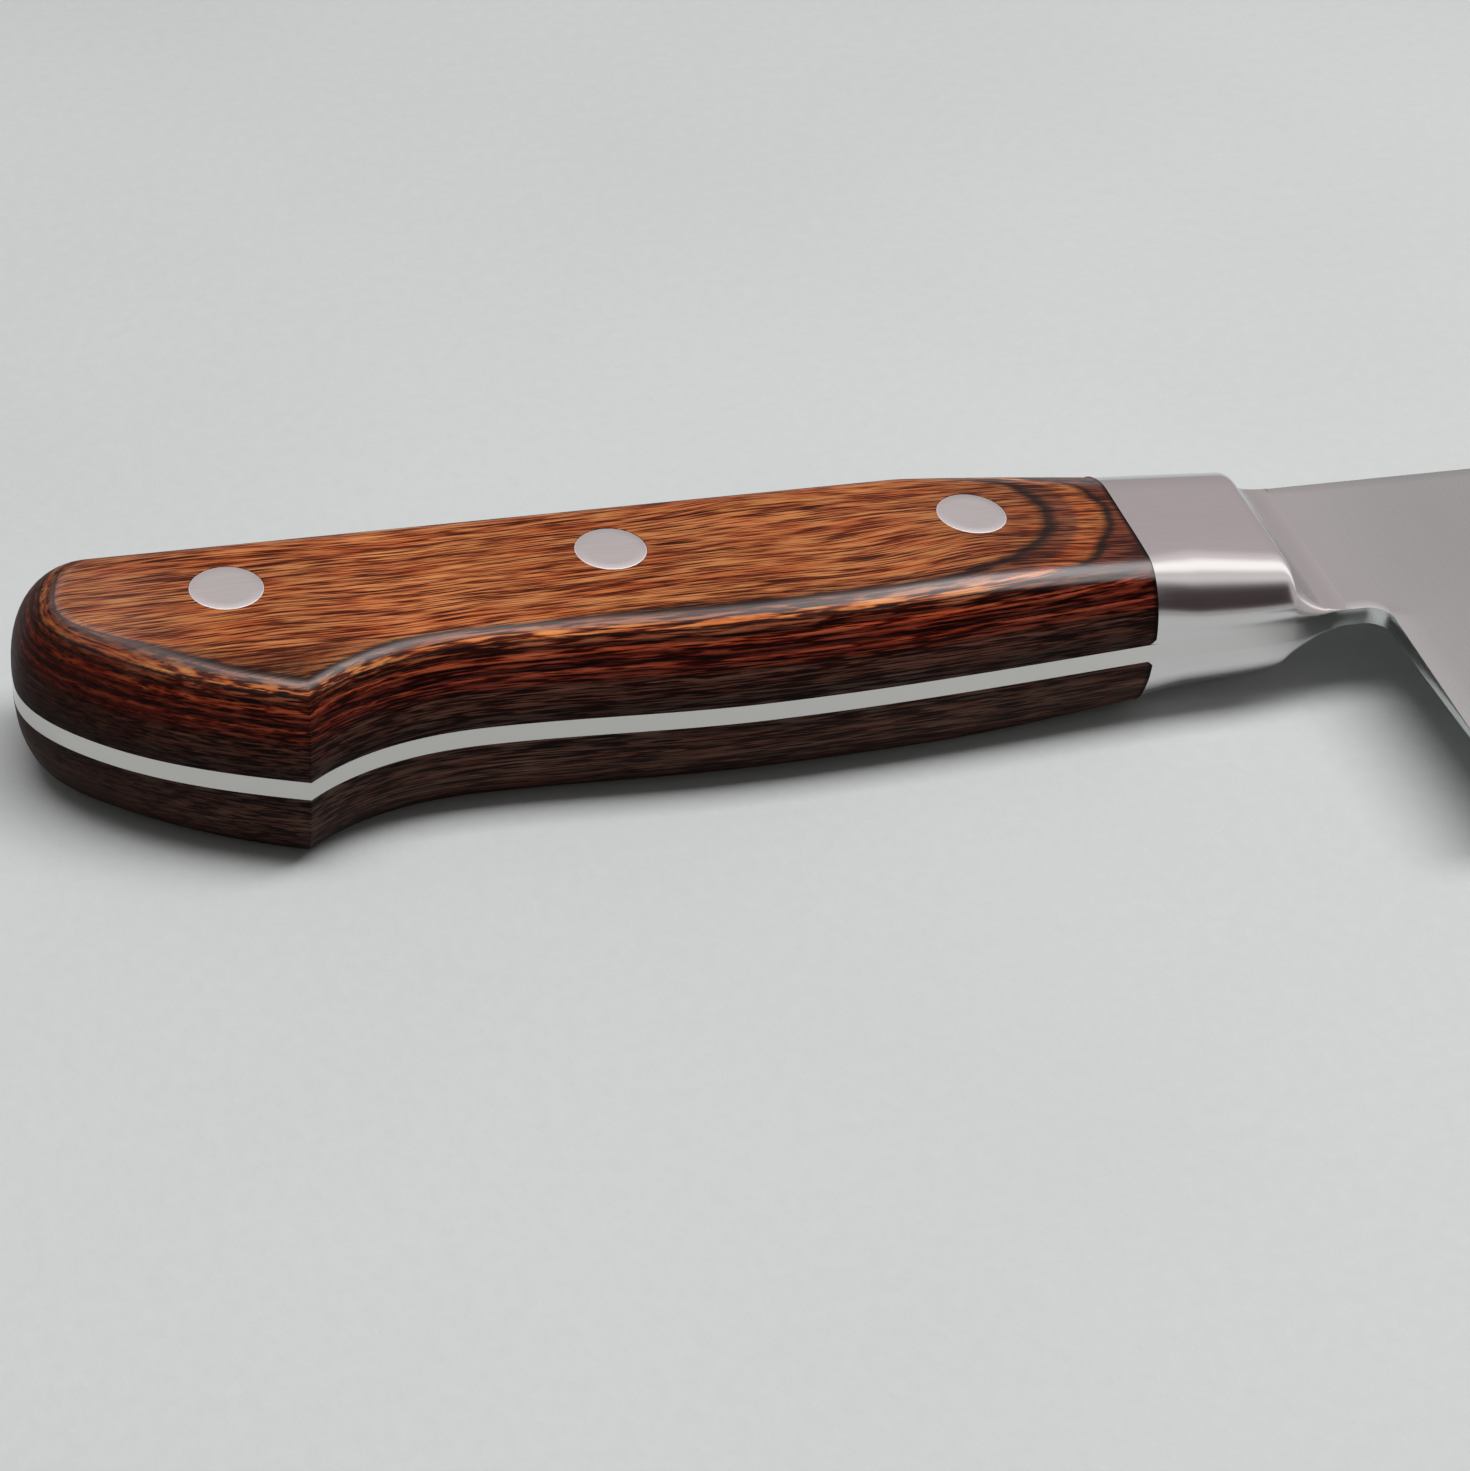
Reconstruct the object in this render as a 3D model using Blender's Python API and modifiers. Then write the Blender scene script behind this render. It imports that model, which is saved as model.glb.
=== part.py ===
# Western-handled gyuto lying on its side: a full-tang blade, two bolster halves,
# two laminated wood scales and three two-piece rivets.
#
# Every piece is modelled from one datum, the point where the butt end, the spine
# line and the middle plane of the tang meet. Stations run along +X from the butt
# end to the tip, depths run along -Y down from the spine line to the edge, and
# heights run along Z from the middle plane.

import math

import bmesh
import bpy
from mathutils import Vector
from mathutils.geometry import interpolate_bezier

MM = 0.001

# Clearance between pieces that touch on the real knife
seat_gap = 0.3 * MM

# Handle, seen from the side
handle_length = 109.0 * MM
butt_depth = 10.6 * MM
butt_lean_station = 0.9 * MM
butt_lean_depth = 3.9 * MM
spine_start = 5.6 * MM
butt_belly_station = 6.7 * MM
butt_belly_depth = 21.5 * MM
hook_station = 24.4 * MM
hook_depth = 30.7 * MM
waist_station = 41.5 * MM
waist_depth = 25.5 * MM
palm_station = 68.0 * MM
palm_depth = 26.7 * MM
handle_front_depth = 24.35 * MM

# Handle, seen from above: the thickness over both scales, and its fall to the front
handle_thickness = 19.4 * MM
taper_start = 88.0 * MM
bolster_front_thickness = 12.4 * MM
taper_power = 1.5

# How far the flat face of a scale lies inside the outline
butt_inset = 5.1 * MM
butt_belly_inset = 4.6 * MM
hook_inset = 4.6 * MM
hook_ridge_lean = 0.5 * MM
waist_inset = 4.4 * MM
palm_inset = 4.9 * MM
front_inset = 6.0 * MM
spine_inset = 5.25 * MM
spine_front_inset = 7.4 * MM
crown_lean_drop = 4.1 * MM
crown_corner_station = 9.4 * MM

# Bolster and neck
bolster_length = 15.1 * MM
bolster_belly_depth = 23.9 * MM
bolster_fillet = 4.3 * MM
bolster_edge_radius = 0.6 * MM
bolster_toe = 0.15 * MM
neck_depth = 22.2 * MM
neck_length = 6.3 * MM
choil_radius = 2.2 * MM

# Blade
blade_length = 240.0 * MM
blade_height = 51.0 * MM
tang_thickness = 2.0 * MM
tip_depth = 16.0 * MM
mid_edge_share = 0.5
mid_edge_depth = 45.6 * MM
spine_drop_share = 0.58
tip_thickness = 0.7 * MM
face_line_height = 12.0 * MM
face_line_share = 0.70
shoulder_height = 1.2 * MM
shoulder_thickness = 0.40 * MM
edge_thickness = 0.08 * MM
grind_fade_length = 26.0 * MM

# Rivets
rivet_stations = [20.0 * MM, 56.9 * MM, 93.5 * MM]
rivet_depth = 11.1 * MM
rivet_head_diameter = 7.0 * MM
rivet_seat_height = 4.6 * MM
socket_diameter = 5.0 * MM
socket_bore = 3.4 * MM
stud_diameter = 2.8 * MM
stud_reach = 3.2 * MM
bore_floor = 3.8 * MM

# Smoothness of the round forms
curve_steps = 10
wall_steps = 8
turn_steps = 40

# Places worked out from the sizes
half_handle = handle_thickness / 2
half_tang = tang_thickness / 2
bolster_front = handle_length + bolster_length
neck_start = bolster_front + bolster_fillet
choil_station = neck_start + neck_length
knife_length = choil_station + blade_length
inner_face = half_tang + seat_gap

WOOD = ("pakkawood", (0.36, 0.12, 0.045, 1.0), 0.0, 0.28)
STEEL = ("blade_steel", (0.56, 0.55, 0.54, 1.0), 1.0, 0.34)
BOLSTER = ("bolster_steel", (0.66, 0.63, 0.63, 1.0), 1.0, 0.16)
RIVET = ("rivet_metal", (0.64, 0.60, 0.59, 1.0), 1.0, 0.36)


# Scene and material helpers

def clear_scene():
    for obj in list(bpy.data.objects):
        bpy.data.objects.remove(obj, do_unlink=True)


def new_collection(name):
    collection = bpy.data.collections.new(name)
    bpy.context.scene.collection.children.link(collection)
    return collection


def material(recipe):
    name, color, metallic, roughness = recipe
    found = bpy.data.materials.get(name)
    if found:
        return found
    made = bpy.data.materials.new(name)
    made.use_nodes = True
    shader = made.node_tree.nodes["Principled BSDF"]
    shader.inputs["Base Color"].default_value = color
    shader.inputs["Metallic"].default_value = metallic
    shader.inputs["Roughness"].default_value = roughness
    made.diffuse_color = color
    return made


def add_object(name, data, collection, recipe=None, parent=None):
    obj = bpy.data.objects.new(name, data)
    collection.objects.link(obj)
    obj.parent = parent
    if recipe:
        obj.data.materials.append(material(recipe))
    return obj


def add_cutter(name, data, collection, parent):
    cutter = add_object(name, data, collection, parent=parent)
    cutter.hide_render = True
    cutter.display_type = "WIRE"
    return cutter


def cut(obj, cutter):
    modifier = obj.modifiers.new("cut_" + cutter.name, "BOOLEAN")
    modifier.operation = "DIFFERENCE"
    modifier.solver = "EXACT"
    modifier.object = cutter


# Outlines in plan. A knot is a station, a depth and the headings in and out of it, in
# degrees, where 0 runs to the tip and 90 runs down to the edge.

def knot(station, depth, heading_in, heading_out=None):
    if heading_out is None:
        heading_out = heading_in
    return (station, depth, heading_in, heading_out)


def heading_vector(heading):
    angle = math.radians(heading)
    return Vector((math.cos(angle), -math.sin(angle), 0.0))


def knot_point(one_knot):
    return Vector((one_knot[0], -one_knot[1], 0.0))


def span_handles(first, second):
    start = knot_point(first)
    end = knot_point(second)
    turn = math.radians(second[2] - first[3])
    reach = (end - start).length / (3 * math.cos(turn / 4) ** 2)
    return (start + heading_vector(first[3]) * reach, end - heading_vector(second[2]) * reach)


def sample_outline(knots, steps=curve_steps):
    points = [knot_point(knots[0])]
    for first, second in zip(knots, knots[1:]):
        start_handle, end_handle = span_handles(first, second)
        span = interpolate_bezier(
            knot_point(first), start_handle, end_handle, knot_point(second), steps + 1)
        points.extend(span[1:])
    return points


def depth_along(points, station):
    for first, second in zip(points, points[1:]):
        if first.x <= station <= second.x:
            share = (station - first.x) / (second.x - first.x)
            return -(first.y + (second.y - first.y) * share)
    return -points[0].y if station < points[0].x else -points[-1].y


def shifted(one_knot, station_shift, depth_shift):
    station, depth, heading_in, heading_out = one_knot
    return (station + station_shift, depth + depth_shift, heading_in, heading_out)


def inset_knot(one_knot, inset):
    angle = math.radians(one_knot[2])
    return shifted(one_knot, inset * math.sin(angle), -inset * math.cos(angle))


butt = knot(0.0, butt_depth, 90)
butt_belly = knot(butt_belly_station, butt_belly_depth, 40)
hook = knot(hook_station, hook_depth, 20, -38)
waist = knot(waist_station, waist_depth, 0)
palm = knot(palm_station, palm_depth, 0)
handle_front = knot(handle_length, handle_front_depth, -4.5)
bolster_belly = knot(bolster_front, bolster_belly_depth, -4)
neck = knot(neck_start, neck_depth, -4)

belly_knots = [butt, butt_belly, hook, waist, palm, handle_front]
crown_belly_knots = [
    inset_knot(butt, butt_inset),
    inset_knot(butt_belly, butt_belly_inset),
    shifted(hook, hook_ridge_lean, -hook_inset),
    shifted(waist, 0.0, -waist_inset),
    shifted(palm, 0.0, -palm_inset),
    shifted(handle_front, 0.0, -front_inset),
]


# The corner between the butt end and the spine line, walked from the butt end
def butt_corner_knots(start, lean, corner):
    return [knot(start[0], start[1], -90), knot(*lean, -70), knot(*corner, 0)]


# Thickness and cross-section of the handle

def half_thickness(station):
    if station <= taper_start:
        return half_handle
    run = (station - taper_start) / (bolster_front - taper_start)
    fall = half_handle - bolster_front_thickness / 2
    return half_handle - fall * run ** taper_power


def spine_inset_at(station):
    run = max(0.0, (station - taper_start) / (handle_length - taper_start))
    return spine_inset + (spine_front_inset - spine_inset) * run


# Wall of a section as (share of the inset, share of the rise): a quarter of an ellipse
# that leaves the tang square and runs out level into the flat face
def wall_arc():
    shares = []
    for step in range(wall_steps + 1):
        angle = math.pi / 2 * step / wall_steps
        shares.append((1 - math.cos(angle), math.sin(angle)))
    return shares


def wall_points(foot, crown, top_height):
    rise = top_height - inner_face
    points = []
    for across, up in wall_arc():
        point = foot.lerp(crown, across)
        point.z = inner_face + rise * up
        points.append(point)
    return points


def section(belly_foot, belly_crown, spine_foot, spine_crown, top_height=None):
    belly_top = top_height or half_thickness(belly_crown.x)
    spine_top = top_height or half_thickness(spine_crown.x)
    belly_wall = wall_points(belly_foot, belly_crown, belly_top)
    spine_wall = wall_points(spine_foot, spine_crown, spine_top)
    return belly_wall + spine_wall[::-1]


# A closed solid through a row of sections, mirrored to the lower side when side is -1
def loft(name, sections, side):
    mesh = bpy.data.meshes.new(name)
    shape = bmesh.new()
    rows = []
    for points in sections:
        rows.append([shape.verts.new((p.x, p.y, p.z * side)) for p in points])
    for low, high in zip(rows, rows[1:]):
        for index in range(len(low)):
            after = (index + 1) % len(low)
            shape.faces.new((low[index], low[after], high[after], high[index]))
    shape.faces.new(rows[0])
    shape.faces.new(rows[-1])
    bmesh.ops.remove_doubles(shape, verts=shape.verts, dist=0.002 * MM)
    bmesh.ops.dissolve_degenerate(shape, dist=0.001 * MM, edges=shape.edges)
    bmesh.ops.recalc_face_normals(shape, faces=shape.faces)
    shape.to_mesh(mesh)
    shape.free()
    return mesh


def shade(mesh, angle=30):
    mesh.shade_smooth()
    mesh.set_sharp_from_angle(angle=math.radians(angle))


# Scales

def scale_sections():
    belly = sample_outline(belly_knots)
    crown = sample_outline(crown_belly_knots)
    half_steps = curve_steps // 2
    corner = sample_outline(butt_corner_knots(
        butt, (butt_lean_station, butt_lean_depth), (spine_start, 0.0)), half_steps)
    crown_corner = sample_outline(butt_corner_knots(
        crown_belly_knots[0],
        (butt_lean_station + butt_inset, butt_lean_depth + crown_lean_drop),
        (crown_corner_station, spine_inset)), half_steps)
    sections = []
    for index in range(len(belly)):
        if index <= curve_steps:
            spine_foot = corner[index]
            spine_crown = crown_corner[index]
        else:
            spine_foot = Vector((belly[index].x, 0.0, 0.0))
            spine_crown = Vector((crown[index].x, -spine_inset_at(crown[index].x), 0.0))
        sections.append(section(belly[index], crown[index], spine_foot, spine_crown))
    return sections


def make_scale(name, side, cutters, parts, datum):
    mesh = loft(name, scale_sections(), side)
    shade(mesh)
    scale = add_object(name, mesh, parts, WOOD, datum)
    for cutter in cutters:
        cut(scale, cutter)
    return scale


# Bolster halves

# Rows of the bolster as (station, height of its top): the tapered body, the rounded
# front edge, and the fillet that runs out on the neck
def bolster_rows():
    body_steps = 8
    fillet_steps = 12
    rear = handle_length + seat_gap
    rows = []
    for step in range(body_steps + 1):
        station = rear + (bolster_front - bolster_edge_radius - rear) * step / body_steps
        rows.append((station, half_thickness(station)))
    edge_top = half_thickness(bolster_front)
    for step in (1, 2, 3):
        angle = math.pi / 2 * step / 3
        station = bolster_front - bolster_edge_radius * (1 - math.sin(angle))
        rows.append((station, edge_top - bolster_edge_radius * (1 - math.cos(angle))))
    for step in range(fillet_steps + 1):
        angle = math.pi / 2 * step / fillet_steps
        height = half_tang + bolster_fillet * (1 - math.sin(angle))
        if height > inner_face + bolster_toe:
            rows.append((bolster_front + bolster_fillet * (1 - math.cos(angle)), height))
    return rows


def bolster_sections():
    junction_rise = half_thickness(handle_length) - half_tang
    belly = sample_outline([handle_front, bolster_belly, neck])
    sections = []
    for station, top_height in bolster_rows():
        share = (top_height - half_tang) / junction_rise
        depth = depth_along(belly, station)
        belly_foot = Vector((station, -depth, 0.0))
        belly_crown = Vector((station, -(depth - front_inset * share), 0.0))
        spine_foot = Vector((station, 0.0, 0.0))
        spine_crown = Vector((station, -spine_front_inset * share, 0.0))
        sections.append(section(belly_foot, belly_crown, spine_foot, spine_crown, top_height))
    return sections


def make_bolster(name, side, parts, datum):
    mesh = loft(name, bolster_sections(), side)
    shade(mesh)
    return add_object(name, mesh, parts, BOLSTER, datum)


# Blade: a flat blank with its full tang, ground on both faces

heel = knot(choil_station, blade_height, 90, -1)
mid_edge = knot(choil_station + blade_length * mid_edge_share, mid_edge_depth, -7)
tip = knot(knife_length, tip_depth, -38, -160)


def blade_knots():
    choil_start = knot(choil_station - choil_radius, neck_depth, 0)
    choil_end = knot(choil_station, neck_depth + choil_radius, 90)
    spine_drop = knot(choil_station + blade_length * spine_drop_share, 0.0, -180)
    level = knot(spine_start, 0.0, -180)
    lean = knot(butt_lean_station, butt_lean_depth, -250)
    closing = knot(0.0, butt_depth, -270)
    return belly_knots + [bolster_belly, neck, choil_start, choil_end, heel, mid_edge, tip,
                          spine_drop, level, lean, closing]


def make_blank(parts, datum):
    knots = blade_knots()
    curve = bpy.data.curves.new("blade_outline", "CURVE")
    curve.dimensions = "2D"
    curve.fill_mode = "BOTH"
    curve.extrude = half_tang
    curve.resolution_u = curve_steps
    spline = curve.splines.new("BEZIER")
    spline.bezier_points.add(len(knots) - 2)
    spline.use_cyclic_u = True
    for index, point in enumerate(spline.bezier_points):
        point.handle_left_type = "FREE"
        point.handle_right_type = "FREE"
        point.co = knot_point(knots[index])
        point.handle_right = span_handles(knots[index], knots[index + 1])[0]
        before = len(knots) - 2 if index == 0 else index - 1
        point.handle_left = span_handles(knots[before], knots[before + 1])[1]
    outline = add_object("blade_outline", curve, parts)
    bpy.context.view_layer.update()
    depsgraph = bpy.context.evaluated_depsgraph_get()
    mesh = bpy.data.meshes.new_from_object(outline.evaluated_get(depsgraph))
    shape = bmesh.new()
    shape.from_mesh(mesh)
    bmesh.ops.remove_doubles(shape, verts=shape.verts, dist=0.001 * MM)
    bmesh.ops.recalc_face_normals(shape, faces=shape.faces)
    shape.to_mesh(mesh)
    shape.free()
    bpy.data.objects.remove(outline)
    mesh.name = "blade"
    return add_object("blade", mesh, parts, STEEL, datum)


# Half thickness left by the grind as (depth, height) pairs at one station
def grind_profile(station, edge):
    margin = 3.0 * MM
    skim = 0.02 * MM
    run = max(0.0, min(1.0, (station - choil_station) / blade_length))
    spine_height = half_tang + skim + (tip_thickness / 2 - half_tang) * run
    edge_depth = depth_along(edge, station)
    share = edge_depth / blade_height
    face_depth = edge_depth - face_line_height * share
    fade = max(0.0, min(1.0, (station - choil_station) / grind_fade_length))
    face_height = spine_height * face_line_share
    hold_depth = neck_depth * share
    ramp_height = spine_height + (face_height - spine_height) * hold_depth / face_depth
    hold_height = spine_height + (ramp_height - spine_height) * fade
    return [
        (-margin, spine_height),
        (0.0, spine_height),
        (hold_depth, hold_height),
        (face_depth, face_height),
        (edge_depth - shoulder_height * share, shoulder_thickness / 2),
        (edge_depth, edge_thickness / 2),
        (edge_depth + margin, edge_thickness / 2),
    ]


def make_grinder(name, side, cutters, datum):
    start = choil_station - choil_radius / 2
    end = knife_length + 2.0 * MM
    clear_height = half_tang + 2.0 * MM
    steps = 30
    edge = sample_outline([heel, mid_edge, tip])
    sections = []
    for step in range(steps + 1):
        station = start + (end - start) * step / steps
        profile = grind_profile(station, edge)
        points = [Vector((station, -depth, height)) for depth, height in profile]
        points.append(Vector((station, -profile[-1][0], clear_height)))
        points.append(Vector((station, -profile[0][0], clear_height)))
        sections.append(points)
    return add_cutter(name, loft(name, sections, side), cutters, datum)


# Turned pieces: a profile of (radius, height) pairs, down its outer side

def turned(name, profile, collection, location, recipe=None, parent=None):
    mesh = bpy.data.meshes.new(name)
    shape = bmesh.new()
    corners = [shape.verts.new((radius, 0.0, height)) for radius, height in profile]
    for first, second in zip(corners, corners[1:]):
        shape.edges.new((first, second))
    shape.to_mesh(mesh)
    shape.free()
    obj = add_object(name, mesh, collection, recipe, parent)
    obj.location = location
    screw = obj.modifiers.new("turn", "SCREW")
    screw.axis = "Z"
    screw.angle = math.radians(360)
    screw.steps = turn_steps
    screw.render_steps = turn_steps
    screw.use_merge_vertices = True
    screw.merge_threshold = 0.01 * MM
    screw.use_normal_calculate = False
    return obj


# Rivet holes, through both scales and the tang, with a seat for each head
def make_rivet_hole(index, station, cutters, datum):
    top = half_handle + 1.0 * MM
    head = rivet_head_diameter / 2 + seat_gap
    shank = socket_diameter / 2 + seat_gap
    profile = [
        (0.0, top),
        (head, top),
        (head, rivet_seat_height),
        (shank, rivet_seat_height),
        (shank, -rivet_seat_height),
        (head, -rivet_seat_height),
        (head, -top),
        (0.0, -top),
    ]
    hole = turned("rivet_hole_%d" % index, profile, cutters, (station, -rivet_depth, 0.0),
                  parent=datum)
    hole.hide_render = True
    hole.display_type = "WIRE"
    return hole


# The head's outer face, ground flush with the scale around it
def grind_flush(obj, station):
    bpy.context.view_layer.update()
    depsgraph = bpy.context.evaluated_depsgraph_get()
    mesh = bpy.data.meshes.new_from_object(obj.evaluated_get(depsgraph))
    end = half_thickness(station)
    for vertex in mesh.vertices:
        if abs(abs(vertex.co.z) - end) < 0.01 * MM:
            flush = half_thickness(station + vertex.co.x)
            vertex.co.z = math.copysign(flush, vertex.co.z)
    obj.modifiers.clear()
    obj.data = mesh
    shade(mesh)


def make_rivet(place, station, parts, datum):
    head = rivet_head_diameter / 2
    end = half_thickness(station)
    under = rivet_seat_height + seat_gap
    location = (station, -rivet_depth, 0.0)
    stud_profile = [
        (0.0, end),
        (head, end),
        (head, under),
        (stud_diameter / 2, under),
        (stud_diameter / 2, -stud_reach),
        (0.0, -stud_reach),
    ]
    socket_profile = [
        (0.0, -bore_floor),
        (socket_bore / 2, -bore_floor),
        (socket_bore / 2, under - seat_gap),
        (socket_diameter / 2, under - seat_gap),
        (socket_diameter / 2, -under),
        (head, -under),
        (head, -end),
        (0.0, -end),
    ]
    stud = turned("rivet_%s_stud" % place, stud_profile, parts, location, RIVET, datum)
    socket = turned("rivet_%s_socket" % place, socket_profile, parts, location, RIVET, datum)
    grind_flush(stud, station)
    grind_flush(socket, station)


def build():
    clear_scene()
    parts = new_collection("gyuto")
    cutters = new_collection("cutters")
    datum = bpy.data.objects.new("knife_datum", None)
    datum.location = (-knife_length / 2, blade_height / 2, half_handle)
    parts.objects.link(datum)

    blade = make_blank(parts, datum)
    cut(blade, make_grinder("grind_upper", 1, cutters, datum))
    cut(blade, make_grinder("grind_lower", -1, cutters, datum))
    holes = []
    for index, station in enumerate(rivet_stations):
        holes.append(make_rivet_hole(index, station, cutters, datum))
    for hole in holes:
        cut(blade, hole)

    make_bolster("bolster_upper", 1, parts, datum)
    make_bolster("bolster_lower", -1, parts, datum)
    make_scale("scale_upper", 1, holes, parts, datum)
    make_scale("scale_lower", -1, holes, parts, datum)
    for place, station in zip(("rear", "middle", "front"), rivet_stations):
        make_rivet(place, station, parts, datum)


build()
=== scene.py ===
# Gyuto lying on a pale studio floor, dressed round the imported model.
import math

import bmesh
import bpy
from mathutils import Matrix, Vector
from mathutils.geometry import interpolate_bezier


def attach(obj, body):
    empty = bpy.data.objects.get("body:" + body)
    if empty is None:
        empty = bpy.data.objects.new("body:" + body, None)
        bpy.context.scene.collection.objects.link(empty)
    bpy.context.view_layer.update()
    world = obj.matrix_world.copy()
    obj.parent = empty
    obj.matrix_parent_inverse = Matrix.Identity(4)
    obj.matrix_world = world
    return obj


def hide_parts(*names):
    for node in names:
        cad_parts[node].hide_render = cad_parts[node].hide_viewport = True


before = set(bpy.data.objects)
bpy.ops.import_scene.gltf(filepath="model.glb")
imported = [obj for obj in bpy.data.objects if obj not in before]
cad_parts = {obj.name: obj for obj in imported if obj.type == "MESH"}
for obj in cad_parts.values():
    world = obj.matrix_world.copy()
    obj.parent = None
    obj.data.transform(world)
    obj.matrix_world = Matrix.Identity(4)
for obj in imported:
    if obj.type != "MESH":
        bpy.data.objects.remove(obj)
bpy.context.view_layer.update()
print("frame loaded:", len(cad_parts), "nodes")

mm = 0.001
weldDistance = 0.001 * mm
sharpAngle = 32

# Sizes that several pieces share, in millimetres. Stations run to the tip, depths run down
# from the spine to the edge and heights run up from the middle plane of the tang.
knife = {
    "length": 374.7,
    "bladeHeight": 51.0,
    "halfHandle": 9.7,
    "halfTang": 1.0,
    "handleLength": 109.0,
    "bolsterFront": 124.0,
    "bolsterHalf": 6.7,
    "neckStart": 130.5,
    "choil": 134.7,
    "neckDepth": 22.2,
    "taperStart": 88.0,
    "taperPower": 1.5,
    "rivetStations": (20.0, 56.9, 93.5),
    "rivetDepth": 11.1,
    "rivetRadius": 3.5,
}


def place(station, depth, height):
    return Vector((
        (station - knife["length"] / 2) * mm,
        (knife["bladeHeight"] / 2 - depth) * mm,
        (knife["halfHandle"] + height) * mm,
    ))


def clamped(value):
    return max(0.0, min(1.0, value))


# Outlines seen from the side: each knot is a station, a depth and the headings in and out,
# in degrees, 0 towards the tip and 90 towards the edge
def knot(station, depth, headingIn, headingOut=None):
    return (station, depth, headingIn, headingIn if headingOut is None else headingOut)


def sampleSpan(first, second, steps):
    start = Vector(first[:2])
    end = Vector(second[:2])
    turn = math.radians(second[2] - first[3])
    reach = (end - start).length / (3 * math.cos(turn / 4) ** 2)
    out = math.radians(first[3])
    into = math.radians(second[2])
    startHandle = start + reach * Vector((math.cos(out), math.sin(out)))
    endHandle = end - reach * Vector((math.cos(into), math.sin(into)))
    return interpolate_bezier(start, startHandle, endHandle, end, steps + 1)


def sampleOutline(knots, steps):
    points = [Vector(knots[0][:2])]
    for first, second, count in zip(knots, knots[1:], steps):
        points += [Vector(p[:2]) for p in sampleSpan(first, second, count)[1:]]
    return points


def depthAt(points, station):
    for first, second in zip(points, points[1:]):
        if first.x <= station <= second.x:
            share = (station - first.x) / (second.x - first.x)
            return first.y + (second.y - first.y) * share
    return points[0].y if station < points[0].x else points[-1].y


def halfThickness(station):
    if station <= knife["taperStart"]:
        return knife["halfHandle"]
    run = (station - knife["taperStart"]) / (knife["bolsterFront"] - knife["taperStart"])
    fall = (knife["halfHandle"] - knife["bolsterHalf"]) * run ** knife["taperPower"]
    return knife["halfHandle"] - fall


buttKnots = [knot(0.0, 10.6, 90), knot(6.7, 21.5, 40), knot(24.4, 30.7, 20, -38)]
gripKnots = [buttKnots[-1], knot(41.5, 25.5, 0), knot(68.0, 26.7, 0),
             knot(knife["handleLength"], 24.35, -4.5)]
bolsterKnots = [gripKnots[-1], knot(knife["bolsterFront"], 23.8, -6),
                knot(knife["neckStart"], knife["neckDepth"], -3)]
buttCorner = [knot(0.0, 10.6, -90), knot(0.9, 3.9, -70), knot(5.6, 0.0, 0)]

buttSteps = (22, 24)
gripSteps = (30, 34, 56)
bolsterSteps = (30, 30)
cornerSteps = (buttSteps[0] // 2,) * 2

bellyButt = sampleOutline(buttKnots, buttSteps)
bellyGrip = sampleOutline(gripKnots, gripSteps)
bellyBolster = sampleOutline(bolsterKnots, bolsterSteps)
spineButt = sampleOutline(buttCorner, cornerSteps)


# Materials. Every shader works on Object coordinates, measured in millimetres from the
# middle plane of the tang at the middle of the knife.
def addNode(tree, kind):
    return tree.nodes.new("ShaderNode" + kind)


def newMaterial(name):
    made = bpy.data.materials.new(name)
    made.use_nodes = True
    tree = made.node_tree
    tree.nodes.clear()
    output = addNode(tree, "OutputMaterial")
    shader = addNode(tree, "BsdfPrincipled")
    tree.links.new(shader.outputs[0], output.inputs[0])
    return made, tree, shader


def stretched(tree, vector, stretch, move=(0, 0, 0)):
    mapping = addNode(tree, "Mapping")
    mapping.inputs["Location"].default_value = move
    mapping.inputs["Scale"].default_value = stretch
    tree.links.new(vector, mapping.inputs[0])
    return mapping.outputs[0]


def millimetres(tree, stretch=(1, 1, 1), move=(0, 0, 0)):
    coordinates = addNode(tree, "TexCoord")
    middle = (0, 0, -knife["halfHandle"])
    centre = stretched(tree, coordinates.outputs["Object"], (1 / mm,) * 3, middle)
    if stretch == (1, 1, 1) and move == (0, 0, 0):
        return centre
    return stretched(tree, centre, stretch, move)


def separated(tree, vector):
    split = addNode(tree, "SeparateXYZ")
    tree.links.new(vector, split.inputs[0])
    return split.outputs[:]


def joined(tree, values):
    join = addNode(tree, "CombineXYZ")
    for value, socket in zip(values, join.inputs):
        tree.links.new(value, socket)
    return join.outputs[0]


def noise(tree, vector, detail=2.0, roughness=0.5, scale=1.0):
    node = addNode(tree, "TexNoise")
    node.inputs["Scale"].default_value = scale
    node.inputs["Detail"].default_value = detail
    node.inputs["Roughness"].default_value = roughness
    tree.links.new(vector, node.inputs["Vector"])
    return node.outputs["Fac"]


def feed(tree, value, socket):
    if hasattr(value, "links"):
        tree.links.new(value, socket)
    else:
        socket.default_value = value


def calculate(tree, operation, first, second=0.0, third=0.0):
    node = addNode(tree, "Math")
    node.operation = operation
    for value, socket in zip((first, second, third), node.inputs):
        feed(tree, value, socket)
    return node.outputs[0]


def times(tree, first, second):
    return calculate(tree, "MULTIPLY", first, second)


def plus(tree, first, second):
    return calculate(tree, "ADD", first, second)


def minus(tree, first, second):
    return calculate(tree, "SUBTRACT", first, second)


def timesPlus(tree, first, second, third):
    return calculate(tree, "MULTIPLY_ADD", first, second, third)


def centred(tree, value):
    return minus(tree, value, 0.5)


def between(tree, first, second, share):
    return timesPlus(tree, minus(tree, second, first), share, first)


def remap(tree, value, low, high, newLow=0.0, newHigh=1.0):
    node = addNode(tree, "MapRange")
    feed(tree, value, node.inputs["Value"])
    limits = (("From Min", low), ("From Max", high), ("To Min", newLow), ("To Max", newHigh))
    for name, number in limits:
        node.inputs[name].default_value = number
    return node.outputs[0]


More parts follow.
